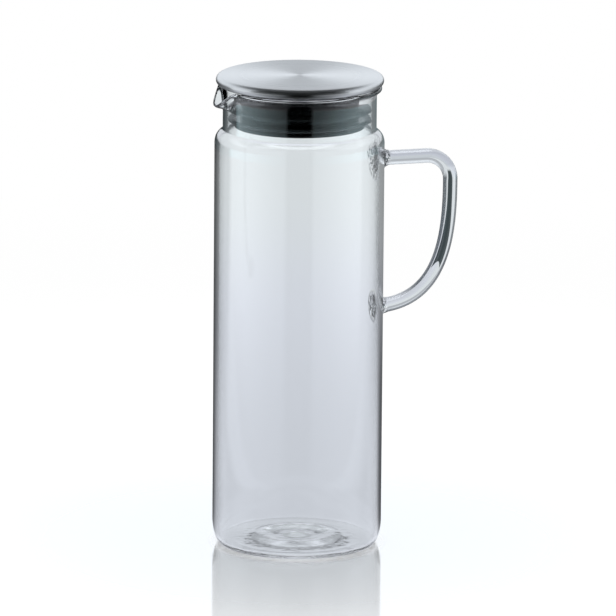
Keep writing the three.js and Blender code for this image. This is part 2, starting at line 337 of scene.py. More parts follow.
def foot_radius(distance, wide):
    """Radius of a trumpet foot at a distance from the wall."""
    share = min(max(1 - distance / FOOT_LENGTH, 0), 1)
    return wide - (wide - ROD_RADIUS) * math.sqrt(1 - share * share)


def crinkle(place):
    """How uneven melted glass is at a place, from about -1 to 1."""
    return noise.fractal(place / CRINKLE_SIZE, *CRINKLE_KIND)


def join_rings(faces, first, count, forward=True):
    """Adds the faces between rings of points that follow each other, from a first point on."""
    for i in range(count - 1):
        for k in range(ROD_SIDES):
            j = (k + 1) % ROD_SIDES
            a, b = first + i * ROD_SIDES, first + (i + 1) * ROD_SIDES
            face = (a + k, b + k, b + j, a + j)
            faces.append(face if forward else face[::-1])


def close_foot(points, faces, ring, height, starting):
    """Closes a foot with a wrinkled end, from its outer ring inwards."""
    outer = points[ring:ring + ROD_SIDES]
    first = len(points)
    points += outer
    for i in range(1, FOOT_RINGS):
        share = 1 - i / FOOT_RINGS
        for place in outer:
            y, z = place.y * share, height + (place.z - height) * share
            x = math.sqrt((body_radius - WELD_DEPTH) ** 2 - y * y)
            rough = crinkle(Vector((x, y, z))) * WELD_CRINKLE
            points.append(Vector((x + rough * min(1, i / WRINKLE_RINGS), y, z)))
    join_rings(faces, first, FOOT_RINGS, not starting)
    last = first + (FOOT_RINGS - 1) * ROD_SIDES
    middle = tuple(range(last, last + ROD_SIDES))
    faces.append(middle if starting else middle[::-1])


def make_handle():
    path = handle_line()
    points, faces = [], []
    last = len(path) - 1
    for i, (x, z) in enumerate(path):
        before, after = path[max(i - 1, 0)], path[min(i + 1, last)]
        along = Vector((after[0] - before[0], 0, after[1] - before[1])).normalized()
        up = Vector((0, 1, 0)).cross(along)
        wide = UPPER_FOOT_RADIUS if z > handle_top - HANDLE_DROP / 2 else LOWER_FOOT_RADIUS
        radius = foot_radius(x - body_radius, wide)
        hug = 1 - smoothstep(x - body_radius, 0, 2 * FOOT_LENGTH)
        uneven = WELD_CRINKLE * (1 - smoothstep(x - body_radius, 0, FOOT_LENGTH))
        for k in range(ROD_SIDES):
            turn = 2 * math.pi * k / ROD_SIDES
            around = up * math.sin(turn) + Vector((0, 1, 0)) * math.cos(turn)
            place = Vector((x, 0, z)) + around * radius
            place += (place - Vector((x, 0, z))).normalized() * (crinkle(place) * uneven)
            place.x += (math.sqrt(place.x ** 2 - place.y ** 2) - place.x) * hug
            points.append(place)
    join_rings(faces, 0, last + 1)
    close_foot(points, faces, 0, handle_top, True)
    close_foot(points, faces, last * ROD_SIDES, handle_top - HANDLE_DROP, False)
    return mesh_object("rod_handle", points, faces)


# Shapes of the lid

def make_cap():
    edge = (cap_high.z - cap_low.z) / 2
    middle = (cap_high.y - edge, cap_low.z + edge)
    hem = middle[0] - CAP_HEM
    inside = edge - CAP_SHEET
    outline = line((0, cap_high.z - CAP_SHEET), (middle[0], cap_high.z - CAP_SHEET), WALL_STEP)
    outline += arc(middle, inside, inside, QUARTER, -QUARTER, CAP_INSIDE_STEPS)
    outline += rounded([
        (hem, cap_low.z + CAP_SHEET, EDGE_ROUND),
        (hem, cap_low.z, EDGE_ROUND),
        (middle[0], cap_low.z, 0),
    ])[:-1]
    outline += arc(middle, edge, edge, -QUARTER, QUARTER, CAP_EDGE_STEPS)
    outline += line((middle[0], cap_high.z), (0, cap_high.z), WALL_STEP)[1:] + [(0, cap_high.z)]
    return turned("steel_cap", outline, LID_SIDES)


def make_plug():
    flange = cap_high.y - (cap_high.z - cap_low.z) / 2
    foot = lip_radius - LOWER_SEAL_TAPER - LIP_TIP
    cup = plug_radius - PLUG_WALL
    outline = rounded([
        (0, plug_low.z, 0),
        (foot, plug_low.z, 2 * EDGE_ROUND),
        (foot, lower_low.z - FIT_GAP, EDGE_ROUND),
        (groove_radius, lower_low.z - FIT_GAP, 0),
        (groove_radius, lower_high.z + FIT_GAP, 0),
        (plug_radius, lower_high.z + FIT_GAP, EDGE_ROUND),
        (plug_radius, upper_low.z - FIT_GAP, EDGE_ROUND),
        (groove_radius, upper_low.z - FIT_GAP, 0),
        (groove_radius, upper_high.z + FIT_GAP, 0),
        (plug_radius, upper_high.z + FIT_GAP, EDGE_ROUND),
        (plug_radius, cap_low.z + CAP_SHEET + FIT_GAP, 0),
        (flange, cap_low.z + CAP_SHEET + FIT_GAP, EDGE_ROUND),
        (flange, plug_high.z, EDGE_ROUND),
        (cup, plug_high.z, EDGE_ROUND),
        (cup, plug_low.z + PLUG_FLOOR, EDGE_ROUND),
        (0, plug_low.z + PLUG_FLOOR, 0),
    ])
    return turned("stopper_plug", outline, LID_SIDES)


def make_upper_seal():
    inside = groove_radius + FIT_GAP
    middle = (upper_low.z + upper_high.z) / 2
    tip = lip_radius - LIP_TIP
    outline = [(inside, upper_low.z), (plug_radius, upper_low.z)]
    outline += arc((tip, middle), LIP_TIP, LIP_TIP, -QUARTER, QUARTER, LIP_STEPS)
    outline += [(plug_radius, upper_high.z), (inside, upper_high.z)]
    return turned("upper_lip_seal", outline, LID_SIDES, closed=True)


def make_lower_seal():
    inside = groove_radius + FIT_GAP
    tip = lip_radius - LIP_TIP
    outline = [(inside, lower_low.z), (tip - LOWER_SEAL_TAPER, lower_low.z)]
    middle = (tip, lower_high.z - LIP_TIP)
    outline += arc(middle, LIP_TIP, LIP_TIP, LOWER_LIP_TURN, QUARTER, LIP_STEPS)
    outline += [(inside, lower_high.z)]
    return turned("lower_lip_seal", outline, LID_SIDES, closed=True)


# Shader helpers
WHITE = (1, 1, 1, 1)


def add(tree, kind, inputs=None, **settings):
    """A shader node with its settings, and its inputs set to values or linked to outputs."""
    made = tree.nodes.new("ShaderNode" + kind)
    for name, value in settings.items():
        setattr(made, name, value)
    for name, value in (inputs or {}).items():
        if isinstance(value, bpy.types.NodeSocket):
            tree.links.new(value, made.inputs[name])
        else:
            made.inputs[name].default_value = value
    return made


def calc(tree, operation, first, second=0.0):
    """A number worked out from one or two others."""
    return add(tree, "Math", {0: first, 1: second}, operation=operation).outputs[0]


def vector(tree, operation, first, second=(0, 0, 0)):
    """A vector worked out from one or two others."""
    return add(tree, "VectorMath", {0: first, 1: second}, operation=operation).outputs[0]


def measure(tree, operation, first, second=(0, 0, 0)):
    """A number worked out from one or two vectors."""
    return add(tree, "VectorMath", {0: first, 1: second}, operation=operation).outputs["Value"]


def product(tree, first, *others):
    for other in others:
        first = calc(tree, "MULTIPLY", first, other)
    return first


def span(tree, value, low, high, start=0.0, end=1.0):
    """A value's range mapped smoothly onto another."""
    inputs = {"Value": value, "From Min": low, "From Max": high, "To Min": start, "To Max": end}
    return add(tree, "MapRange", inputs, interpolation_type="SMOOTHSTEP").outputs[0]


def fading(tree, value, low, high):
    """1 up to a low value, and smoothly down to 0 at a high one."""
    return span(tree, value, low, high, 1.0, 0.0)


def turn_span(tree, turn, low, high, start=0.0, end=1.0):
    """A range of angles, in degrees, mapped smoothly onto numbers."""
    return span(tree, turn, math.radians(low), math.radians(high), start, end)


def choose(tree, share, first, second):
    """The first number, the second or one between them, by a share from 0 to 1."""
    return add(tree, "Mix", {0: share, 2: first, 3: second}, data_type="FLOAT").outputs[0]


def blend(tree, share, first, second):
    """A colour between two."""
    return add(tree, "Mix", {0: share, 6: first, 7: second}, data_type="RGBA").outputs[2]


def mix(tree, share, first, second):
    """A shader between two."""
    return add(tree, "MixShader", {0: share, 1: first, 2: second}).outputs[0]


def glow(tree, colour, strength):
    return add(tree, "Emission", {"Color": colour, "Strength": strength}).outputs[0]


def cloud(tree, place, scale, detail, distortion=0.0):
    """Noise in space, from 0 to 1."""
    inputs = {"Vector": place, "Scale": scale, "Detail": detail, "Distortion": distortion}
    return add(tree, "TexNoise", inputs).outputs[0]


def ring_noise(tree, radius, scale, detail):
    """Noise that changes with the radius alone, from 0 to 1."""
    inputs = {"W": radius, "Scale": scale, "Detail": detail}
    return add(tree, "TexNoise", inputs, noise_dimensions="1D").outputs[0]


def relief(tree, height, strength, distance):
    """A normal that follows a height."""
    return add(tree, "Bump", {"Height": height, "Strength": strength, "Distance": distance}).outputs[0]


def own_place(tree):
    """A place in the piece's own frame."""
    return add(tree, "TexCoord").outputs["Object"]


def coordinates(tree, place):
    """The three coordinates of a place."""
    return add(tree, "SeparateXYZ", {0: place}).outputs


def axis_distance(tree, place):
    """How far a place is from the pitcher's axis."""
    return measure(tree, "LENGTH", vector(tree, "MULTIPLY", place, (1, 1, 0)))


def edge_on(tree):
    """0 where a surface is met squarely, 1 where it is met edge on."""
    return add(tree, "LayerWeight", {"Blend": 0.5}).outputs["Facing"]


def material(name):
    """A new material, its node tree and its empty output."""
    made = bpy.data.materials.new(name)
    made.use_nodes = True
    made.node_tree.nodes.clear()
    return made, made.node_tree, made.node_tree.nodes.new("ShaderNodeOutputMaterial")


# Glass. Noise is given as scale per metre, detail and distortion, and its height in millimetres
GLASS_INDEX = 1.47
FUSED_INDEX = 1.0  # where foot and wall are one glass, light goes straight on
BODY_TINT = (0.955, 0.963, 0.966, 1)
ROD_TINT = (0.84, 0.855, 0.865, 1)
SHADOW_TINT = (0.9, 0.91, 0.91, 1)
WAVES = (45.0, 2.0)
WAVE_HEIGHT = 0.02
FOLDS = (560.0, 1.0)  # of the melted feet
FOLD_HEIGHT = 0.65
FOLD_STRETCH = (1, 1, 0.5)  # they are drawn out upwards
MELTED_FADE = 1.3  # times a foot's radius
MELTED_DEPTH = (2, 1, 1)  # the melted glass is half as deep as it is wide
WALL_SPREAD = 1.2  # how much wider than the foot the wall is melted
# Painted shade: the creases of the melted feet are darkened in the glass colour
CREASES = (640.0, 2.0, 1.5)
CREASE_EDGE = (0.42, 0.47)
PAINTED_CREASE_SHADE = (0.03, 0.036, 0.04, 1)
PULLS = (380.0, 1.0)  # marks of drawing the spout
PULL_HEIGHT = 0.15
PULL_FROM_AXIS = (-45 * MM, -48 * MM)
PULL_UNDER_RIM = (10 * MM, 18 * MM)
UNEVEN = (130.0, 2.0)  # inside floor
UNEVEN_HEIGHT = 0.3
UNEVEN_UP_TO = (6 * MM, 10 * MM)
UNEVEN_RADIUS = (30 * MM, 38 * MM)
WELD_FACES = (-0.1 * MM, 1.8 * WELD_DEPTH)  # depths in the wall at which faces count as fused

# Painted reflections on the rod: dark bands painted into its colour stand for the dark surroundings that
# bent clear glass shows. They go by how edge on it is, by depth under the bar and by how much it faces
# the gap
PAINTED_BAR_SHADE = (0.52, 0.535, 0.575, 1)
BAR_DEPTH = (5 * MM, 8 * MM)
BAR_FACE_LOW = (-0.14, -0.06)  # rise of the normal
BAR_FACE_HIGH = (0.6, 0.8)
BANDS_DEPTH = (8 * MM, 14 * MM)
PAINTED_OUTER_BAND = (0.06, 0.065, 0.07, 1)
OUTER_BAND_EDGE = (0.27, 0.36)
OUTER_BAND_SIDE = (-0.45, -0.2)
PAINTED_INNER_BAND = (0.03, 0.035, 0.04, 1)
INNER_BAND_EDGE = (0.1, 0.17)
INNER_BAND_SIDE = (0.2, 0.45)
INNER_BAND_REACH = (8 * MM, 24 * MM, 0.25, 1.0)  # fainter next to the wall
PAINTED_STRIPE = (0.005, 0.0075, 0.008, 1)
STRIPE_EDGE = (0.064, 0.08)
STRIPE_DEPTH = (7.5 * MM, 9.5 * MM)
STRIPE_WIDENING = (25 * MM, 62 * MM, 0.0, 0.075)
STRIPE_SPLIT = (62 * MM, 71 * MM, -0.02, 0.2)  # its lower end parts in a V
SPLIT_EDGE = (0.0, 0.012)


def rod_tint_with_painted_bands(tree, place, tint):
    """The rod's tint, with painted dark bands: reflections of the dark surroundings that a bent rod of
    clear glass shows on its front, painted into its colour.
    """
    front = calc(tree, "SUBTRACT", 1.0, add(tree, "NewGeometry").outputs["Backfacing"])
    normal = add(tree, "TexCoord").outputs["Normal"]
    rise = coordinates(tree, normal)[2]
    x, _, z = coordinates(tree, place)
    reach = calc(tree, "SUBTRACT", x, body_radius)
    depth = calc(tree, "SUBTRACT", handle_top, z)
    gap_middle = (body_radius + FINGER_ROOM / 2, 0, handle_top - HANDLE_DROP / 2)
    inwards = vector(tree, "NORMALIZE", vector(tree, "SUBTRACT", gap_middle, place))
    inner = measure(tree, "DOT_PRODUCT", normal, inwards)
    edge = edge_on(tree)
    widened = calc(tree, "SUBTRACT", edge, span(tree, depth, *STRIPE_WIDENING))
    bands = product(tree, span(tree, depth, *BANDS_DEPTH), front)

    # Painted shade: the front faces of the bar are painted grey
    upright = product(tree, span(tree, rise, *BAR_FACE_LOW), fading(tree, rise, *BAR_FACE_HIGH))
    bar = product(tree, upright, fading(tree, depth, *BAR_DEPTH), front)
    colour = blend(tree, bar, tint, PAINTED_BAR_SHADE)

    # Painted reflection: a dark band on the side away from the gap, where the rod is seen edge on
    outer_side = product(tree, span(tree, edge, *OUTER_BAND_EDGE), fading(tree, inner, *OUTER_BAND_SIDE))
    colour = blend(tree, product(tree, outer_side, bands), colour, PAINTED_OUTER_BAND)

    # Painted reflection: a dark band on the side that faces the gap, fainter next to the wall
    gap_side = product(tree, span(tree, widened, *INNER_BAND_EDGE), span(tree, inner, *INNER_BAND_SIDE))
    gap_side = product(tree, gap_side, bands, span(tree, reach, *INNER_BAND_REACH))
    colour = blend(tree, gap_side, colour, PAINTED_INNER_BAND)

    # Painted reflection: a dark stripe down the middle of the rod's front, wider lower down, parting in a
    # V at its lower end
    parted = calc(tree, "SUBTRACT", edge, span(tree, depth, *STRIPE_SPLIT))
    stripe = product(tree, fading(tree, widened, *STRIPE_EDGE), span(tree, depth, *STRIPE_DEPTH))
    stripe = product(tree, stripe, span(tree, parted, *SPLIT_EDGE), front)
    return blend(tree, stripe, colour, PAINTED_STRIPE)


def near_foot(tree, place, height, wide):
    """1 in and around a melted foot of the handle, fading to 0."""
    away = vector(tree, "SUBTRACT", place, (body_radius, 0, height))
    reach = measure(tree, "LENGTH", vector(tree, "MULTIPLY", away, MELTED_DEPTH))
    return fading(tree, reach, wide, MELTED_FADE * wide)


def body_marks(tree, place):
    """Heights of the marks that making leaves in the spout and on the inside floor."""
    x, _, z = coordinates(tree, place)
    under_rim = calc(tree, "SUBTRACT", rim_height, z)
    spout = product(tree, span(tree, x, *PULL_FROM_AXIS), fading(tree, under_rim, *PULL_UNDER_RIM))
    pulls = product(tree, cloud(tree, place, *PULLS), spout, PULL_HEIGHT)
    radius = axis_distance(tree, place)
    low = product(tree, fading(tree, z, *UNEVEN_UP_TO), fading(tree, radius, *UNEVEN_RADIUS))
    uneven = product(tree, cloud(tree, place, *UNEVEN), low, UNEVEN_HEIGHT)
    return calc(tree, "ADD", pulls, uneven)


def glass_finish(name, tint, rod, index=GLASS_INDEX):
    """Clear blown glass, faintly wavy, and folded where the handle is melted on. On the rod and the fused
    faces, painted dark bands and painted shade in the creases of the melted feet darken its colour.
    """
    made, tree, out = material(name)
    place = own_place(tree)
    drawn = vector(tree, "MULTIPLY", place, FOLD_STRETCH)
    spread = 1.0 if rod else WALL_SPREAD
    upper = near_foot(tree, place, handle_top, spread * UPPER_FOOT_RADIUS)
    lower = near_foot(tree, place, handle_top - HANDLE_DROP, spread * LOWER_FOOT_RADIUS)
    melted = calc(tree, "MAXIMUM", upper, lower)
    waves = product(tree, cloud(tree, place, *WAVES), WAVE_HEIGHT)
    height = calc(tree, "ADD", waves, product(tree, cloud(tree, drawn, *FOLDS), melted, FOLD_HEIGHT))
    colour = tint
    if rod:
        # Painted shade: dark colour in the creases of the melted feet, clear glass between them
        creases = span(tree, cloud(tree, drawn, *CREASES), *CREASE_EDGE)
        crease_shaded = blend(tree, creases, PAINTED_CREASE_SHADE, WHITE)
        colour = blend(tree, melted, rod_tint_with_painted_bands(tree, place, tint), crease_shaded)
    else:
        height = calc(tree, "ADD", height, body_marks(tree, place))
    glass = add(tree, "BsdfPrincipled", {
        "Base Color": colour,
        "Roughness": 0.0,
        "IOR": index,
        "Transmission Weight": 1.0,
        "Normal": relief(tree, height, 1.0, MM),
    }).outputs[0]
    clear = add(tree, "BsdfTransparent", {0: SHADOW_TINT}).outputs[0]
    shadow = add(tree, "LightPath").outputs["Is Shadow Ray"]
    tree.links.new(mix(tree, shadow, glass, clear), out.inputs[0])
    return made


def melt_together(piece, finish):
    """Gives the faces where the feet and the wall are one glass a finish that doesn't bend light."""
    feet = ((handle_top, UPPER_FOOT_RADIUS), (handle_top - HANDLE_DROP, LOWER_FOOT_RADIUS))
    shallowest, deepest = WELD_FACES
    piece.data.materials.append(finish)
    for face in piece.data.polygons:
        x, y, z = face.center
        depth = body_radius - math.hypot(x, y)
        covered = any(math.hypot(y, z - height) < wide for height, wide in feet)
        if x > 0 and covered and shallowest < depth < deepest:
            face.material_index = 1


# Steel, plastic and silicone
STEEL_DARK = (0.61, 0.625, 0.635, 1)
STEEL_LIGHT = (0.745, 0.76, 0.77, 1)
STEEL_ROUGHNESS = (0.2, 0.8, 0.26, 0.4)  # rough lines are the light ones
FINE_LINES = (2600.0, 3.0)
FINE_SHARE = 0.6
BROAD_LINES = (420.0, 2.0)
BROAD_SHARE = 0.4
LINE_RELIEF = 0.12
MOULD_CLOUDS = (90.0, 4.0)
MOULD_RANGE = (0.3, 0.7)
MOULD_GRAIN = (1800.0, 2.0)
FINE_DEPTH = 0.05 * MM  # of brush lines and moulded grain
GLOSS_TINT = (0.68, 0.94, 1.0, 1)  # of the gloss on dark plastic


def steel_finish():
    """Spun, brushed stainless steel."""
    made, tree, out = material("brushed_steel")
    radius = axis_distance(tree, own_place(tree))
    fine = product(tree, ring_noise(tree, radius, *FINE_LINES), FINE_SHARE)
    lines = calc(tree, "ADD", fine, product(tree, ring_noise(tree, radius, *BROAD_LINES), BROAD_SHARE))
    steel = add(tree, "BsdfPrincipled", {
        "Base Color": blend(tree, lines, STEEL_DARK, STEEL_LIGHT),
        "Metallic": 1.0,
        "Roughness": span(tree, lines, *STEEL_ROUGHNESS),
        "Anisotropic": 0.75,
        "Anisotropic Rotation": 0.25,
        "Tangent": add(tree, "Tangent", direction_type="RADIAL", axis="Z").outputs[0],
        "Normal": relief(tree, lines, LINE_RELIEF, FINE_DEPTH),
    })
    tree.links.new(steel.outputs[0], out.inputs[0])
    return made


def moulded_finish(name, dark, light, roughness, grain):
    """Dark plastic or silicone with a fine moulded grain."""
    made, tree, out = material(name)
    place = own_place(tree)
    clouds = cloud(tree, place, *MOULD_CLOUDS)
    plastic = add(tree, "BsdfPrincipled", {
        "Base Color": blend(tree, clouds, dark, light),
        "Roughness": span(tree, clouds, *MOULD_RANGE, *roughness),
        "Specular Tint": GLOSS_TINT,
        "Normal": relief(tree, cloud(tree, place, *MOULD_GRAIN), grain, FINE_DEPTH),
    })
    tree.links.new(plastic.outputs[0], out.inputs[0])
    return made


def plastic_finish():
    dark, light = (0.004, 0.005, 0.005, 1), (0.008, 0.009, 0.009, 1)
    return moulded_finish("dark_plastic", dark, light, roughness=(0.08, 0.14), grain=0.04)


def silicone_finish():
    dark, light = (0.005, 0.006, 0.006, 1), (0.01, 0.011, 0.011, 1)
    return moulded_finish("dark_silicone", dark, light, roughness=(0.14, 0.2), grain=0.05)


def dress(piece, finish, body, node):
    """Gives a piece its finish and its CAD body, and hides the CAD part of the node that it stands for.
    """
    piece.data.materials.append(finish)
    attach(piece, body)
    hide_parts(node)


def make_pitcher():
    body_glass = glass_finish("blown_glass", BODY_TINT, False)
    rod_glass = glass_finish("rod_glass", ROD_TINT, True)
    silicone = silicone_finish()
    plastic = plastic_finish()
    fused_glass = glass_finish("fused_glass", BODY_TINT, True, FUSED_INDEX)
    vessel, handle = make_body(), make_handle()
    dress(vessel, body_glass, "vessel", "glass_body")
    dress(handle, rod_glass, "vessel", "glass_handle")
    melt_together(vessel, fused_glass)
    melt_together(handle, fused_glass)
    dress(make_cap(), steel_finish(), "lid", "lid_cap")
    dress(make_plug(), plastic, "lid", "lid_plug")
    dress(make_upper_seal(), silicone, "lid", "upper_seal")
    dress(make_lower_seal(), silicone, "lid", "lower_seal")


# Camera, as fitted to the photograph
CAMERA_AZIMUTH = math.radians(-17)
CAMERA_ELEVATION = math.radians(12.626)
CAMERA_ROLL = math.radians(0.46)
CAMERA_DISTANCE = 4.922
CAMERA_TARGET = Vector((5.5 * MM, -1.68 * MM, 141.37 * MM))
CAMERA_LENS = 487.6  # millimetres, on a 36 mm sensor
CAMERA_REACH = 200  # metres that it sees
FRONT = Vector((math.sin(CAMERA_AZIMUTH), -math.cos(CAMERA_AZIMUTH), 0))  # towards the camera
RIGHT = Vector((math.cos(CAMERA_AZIMUTH), math.sin(CAMERA_AZIMUTH), 0))
UP = Vector((0, 0, 1))


def make_camera():
    back = FRONT * math.cos(CAMERA_ELEVATION) + UP * math.sin(CAMERA_ELEVATION)
    camera = bpy.data.objects.new("camera", bpy.data.cameras.new("camera"))
    camera.data.lens = CAMERA_LENS
    camera.data.clip_end = CAMERA_REACH
    camera.location = CAMERA_TARGET + back * CAMERA_DISTANCE
    camera.rotation_mode = "QUATERNION"
    camera.rotation_quaternion = (-back).to_track_quat("-Z", "Y") @ Quaternion(UP, CAMERA_ROLL)
    bpy.context.scene.collection.objects.link(camera)
    bpy.context.scene.camera = camera


# Studio. Turns are degrees from the camera's side, and radii on the floor are from the pitcher's axis
COOL = (0.955, 1.0, 1.055, 1)  # cast of the studio's light
BLUE = (0.963, 1.0, 1.085, 1)  # cast of the floor near the base
PALE = (0.955, 1.0, 1.025, 1)  # and far from it
TEAL = (0.72, 1.02, 1.1, 1)  # cast of the far sides, as clear glass mirrors them
CAST_RADIUS = (0.6, 1.05)

Rays = namedtuple("Rays", "camera through mirrored sharp")


def ray_kinds(tree):
    """Outputs that are 1 for rays from the camera, through glass, mirrored before, and last bent or
    mirrored by a perfectly smooth surface."""
    light = add(tree, "LightPath").outputs
    bounced = calc(tree, "GREATER_THAN", light["Glossy Depth"], 0.5)
    direct = calc(tree, "SUBTRACT", 1.0, light["Is Diffuse Ray"])
    mirrored = calc(tree, "MULTIPLY", bounced, direct)
    return Rays(light["Is Camera Ray"], light["Is Transmission Ray"], mirrored, light["Is Singular Ray"])


def front_turn(tree, direction):
    """The angle between a direction and the camera's side, seen from above."""
    towards = vector(tree, "NORMALIZE", vector(tree, "MULTIPLY", direction, (1, 1, 0)))
    return calc(tree, "ARCCOSINE", measure(tree, "DOT_PRODUCT", towards, FRONT))


# Lights at the sides, as the floor mirrors them
FRONT_DARK = (16, 22)
SIDE_RISE = (10, 95)
SIDE_START = 0.35
LEFT_END = (104, 112)
RIGHT_END = (80, 150)
SIDE_REACH = (0.2, 1.0, 0.36, 1.0)
STEEP_EDGE = (0.45, 0.7)  # edge on, for rays that meet the floor steeply
STEEP_TURN = (50, 80)
BACK_START = (98, 122)
LEFT_EDGE = (125, 172)
LEFT_EDGE_LEVEL = 0.06
RIGHT_EDGE = (138, 158)
RIGHT_EDGE_LEVEL = (0.35, 0.9, 0.1, 0.32)
BACK_LEVEL = (0.15, 0.7, 0.8, 0.4)
BACK_FADE = (1.1, 1.3, 1.0, 0.6)


def back_light(tree, turn, radius, right):
    """The pale floor behind the pitcher, dark where the edges of the glass mirror it.

    The turn is taken from the edge of the body, not from its axis.
    """
    aside = calc(tree, "ARCTANGENT", calc(tree, "DIVIDE", body_radius, radius))
    backwards = calc(tree, "ADD", turn, aside)
    left_edge = turn_span(tree, backwards, *LEFT_EDGE)
    right_edge = turn_span(tree, backwards, *RIGHT_EDGE)
    edge = choose(tree, right, left_edge, right_edge)
    darkest = choose(tree, right, LEFT_EDGE_LEVEL, span(tree, radius, *RIGHT_EDGE_LEVEL))
    level = choose(tree, edge, span(tree, radius, *BACK_LEVEL), darkest)
    begun = turn_span(tree, backwards, *BACK_START)
    return product(tree, begun, level, span(tree, radius, *BACK_FADE))


def side_light(tree, place, radius, most):
    """Two broad lights at the sides, with a dark front and a pale back.

    The left one ends sharply. Near the pitcher they are dimmer, but not for steep rays.
    """
    turn = front_turn(tree, place)
    right = calc(tree, "GREATER_THAN", measure(tree, "DOT_PRODUCT", place, RIGHT), 0.0)
    rising = turn_span(tree, turn, *SIDE_RISE, SIDE_START, most)
    left_end = turn_span(tree, turn, *LEFT_END, 1.0, 0.0)
    right_end = turn_span(tree, turn, *RIGHT_END, 1.0, 0.0)
    end = choose(tree, right, left_end, right_end)
    steep = product(tree, fading(tree, edge_on(tree), *STEEP_EDGE), turn_span(tree, turn, *STEEP_TURN))
    reach = calc(tree, "MAXIMUM", span(tree, radius, *SIDE_REACH), steep)
    level = product(tree, rising, end, reach, turn_span(tree, turn, *FRONT_DARK))
    return calc(tree, "MAXIMUM", level, back_light(tree, turn, radius, right))


# Floor
FLOOR_SIZE = 60.0
FLOOR_HEIGHT = -0.2 * MM
FLOOR_COLOUR = (0.8, 0.8, 0.8, 1)
FLOOR_LIFT = 0.25
WHITE_RADIUS = (0.3, 1.0)
BACKDROP_LEVEL = (0.05, 1.1, 0.74, 0.88)
UNDER_LEVEL = (0.05, 0.08, 0.74, 0.0)
UNDER_GLASS = (2.0, 4.0, 1.0, 0.55)  # dimmer to rays that have passed more faces of glass
FAR_RADIUS = (1.19, 1.24)
MOST_OUTSIDE = (1.6, 2.3)  # most light off the outside of the glass, near and far
MOST_INSIDE = 1.15  # and from inside it
STEEL_SHARE = 0.5  # brushed and moulded surfaces see dimmer sides
MIRROR_SHARE = (0.05, 0.4, 0.9, 0.0)
MIRROR_EDGE = (0.2, 0.8)
CONTACT_SHARE = (0.047, 0.056, 0.62, 1.0)
MIRROR_BLUR = 0.07
FRONT_BLUR = (40, 75, 0.25, MIRROR_BLUR)  # next to the base, in front
BLUR_RADIUS = (0.05, 0.075)


def floor_lights(tree, rays, place, radius):
    """The floor as glass and mirrors show it: a grey sweep through glass, and lights in reflections."""
    depth = add(tree, "LightPath").outputs["Transmission Depth"]
    under = product(tree, span(tree, radius, *UNDER_LEVEL), span(tree, depth, *UNDER_GLASS))
    most = choose(tree, rays.through, span(tree, radius, *FAR_RADIUS, *MOST_OUTSIDE), MOST_INSIDE)
    off_glass = calc(tree, "MAXIMUM", rays.through, rays.sharp)
    share = choose(tree, off_glass, STEEL_SHARE, 1.0)
    sides = product(tree, side_light(tree, place, radius, most), share)
    lights = calc(tree, "MAXIMUM", under, sides)
    level = choose(tree, rays.mirrored, span(tree, radius, *BACKDROP_LEVEL), lights)
    outside = product(tree, rays.sharp, calc(tree, "SUBTRACT", rays.mirrored, rays.through))
    far = product(tree, outside, span(tree, radius, *FAR_RADIUS))
    cast = blend(tree, span(tree, radius, *CAST_RADIUS), BLUE, PALE)
    return glow(tree, blend(tree, far, cast, TEAL), level)


def floor_surface(tree, place, radius, diffuse):
    """The floor as the camera sees it: lit near the pitcher, white far off, and mirroring its foot."""
    lit = add(tree, "AddShader", {0: glow(tree, WHITE, FLOOR_LIFT), 1: diffuse}).outputs[0]
    ground = mix(tree, span(tree, radius, *WHITE_RADIUS), lit, glow(tree, WHITE, 1.0))
    front_blur = turn_span(tree, front_turn(tree, place), *FRONT_BLUR)
    blur = choose(tree, span(tree, radius, *BLUR_RADIUS), front_blur, MIRROR_BLUR)
    mirror = add(tree, "BsdfGlossy", {"Color": WHITE, "Roughness": blur}).outputs[0]
    share = product(tree, span(tree, radius, *MIRROR_SHARE), span(tree, edge_on(tree), *MIRROR_EDGE))
    share = product(tree, share, span(tree, radius, *CONTACT_SHARE))
    return mix(tree, share, ground, mirror)


def make_floor():
    """A pale, softly mirroring floor that fades to white, with a grey sweep behind glass."""
    corners = ((-1, -1), (1, -1), (1, 1), (-1, 1))
    points = [(x * FLOOR_SIZE, y * FLOOR_SIZE, FLOOR_HEIGHT) for x, y in corners]
    floor = mesh_object("floor", points, [(0, 1, 2, 3)])
    made, tree, out = material("studio_floor")
    rays = ray_kinds(tree)
    place = add(tree, "NewGeometry").outputs["Position"]
    radius = axis_distance(tree, place)
    diffuse = add(tree, "BsdfDiffuse", {"Color": FLOOR_COLOUR}).outputs[0]
    indirect = calc(tree, "MAXIMUM", rays.through, rays.mirrored)
    unseen = mix(tree, indirect, diffuse, floor_lights(tree, rays, place, radius))
    seen = floor_surface(tree, place, radius, diffuse)
    tree.links.new(mix(tree, rays.camera, unseen, seen), out.inputs[0])
    made.cycles.emission_sampling = "NONE"
    floor.data.materials.append(made)


# World, by the sine of the elevation
AMBIENT = 0.45
SKY_BEHIND = (0.12, 0.4, 0.55, 1.0)  # behind glass
HORIZON = (0.45, 0.8, 1.0, 0.1)
CAMERA_SIDE = (18, 24, 0.02, 1.0)
CEILING = (0.85, 0.95, 0.0, 4.0)
INSIDE_SKY = (0.4, 0.6, 0.64, 2.0)  # mirrored inside the glass
INSIDE_TURN = (60, 100, 0.1, 1.0)
MIRRORED_TWICE = 0.78  # share that is left after a second reflection


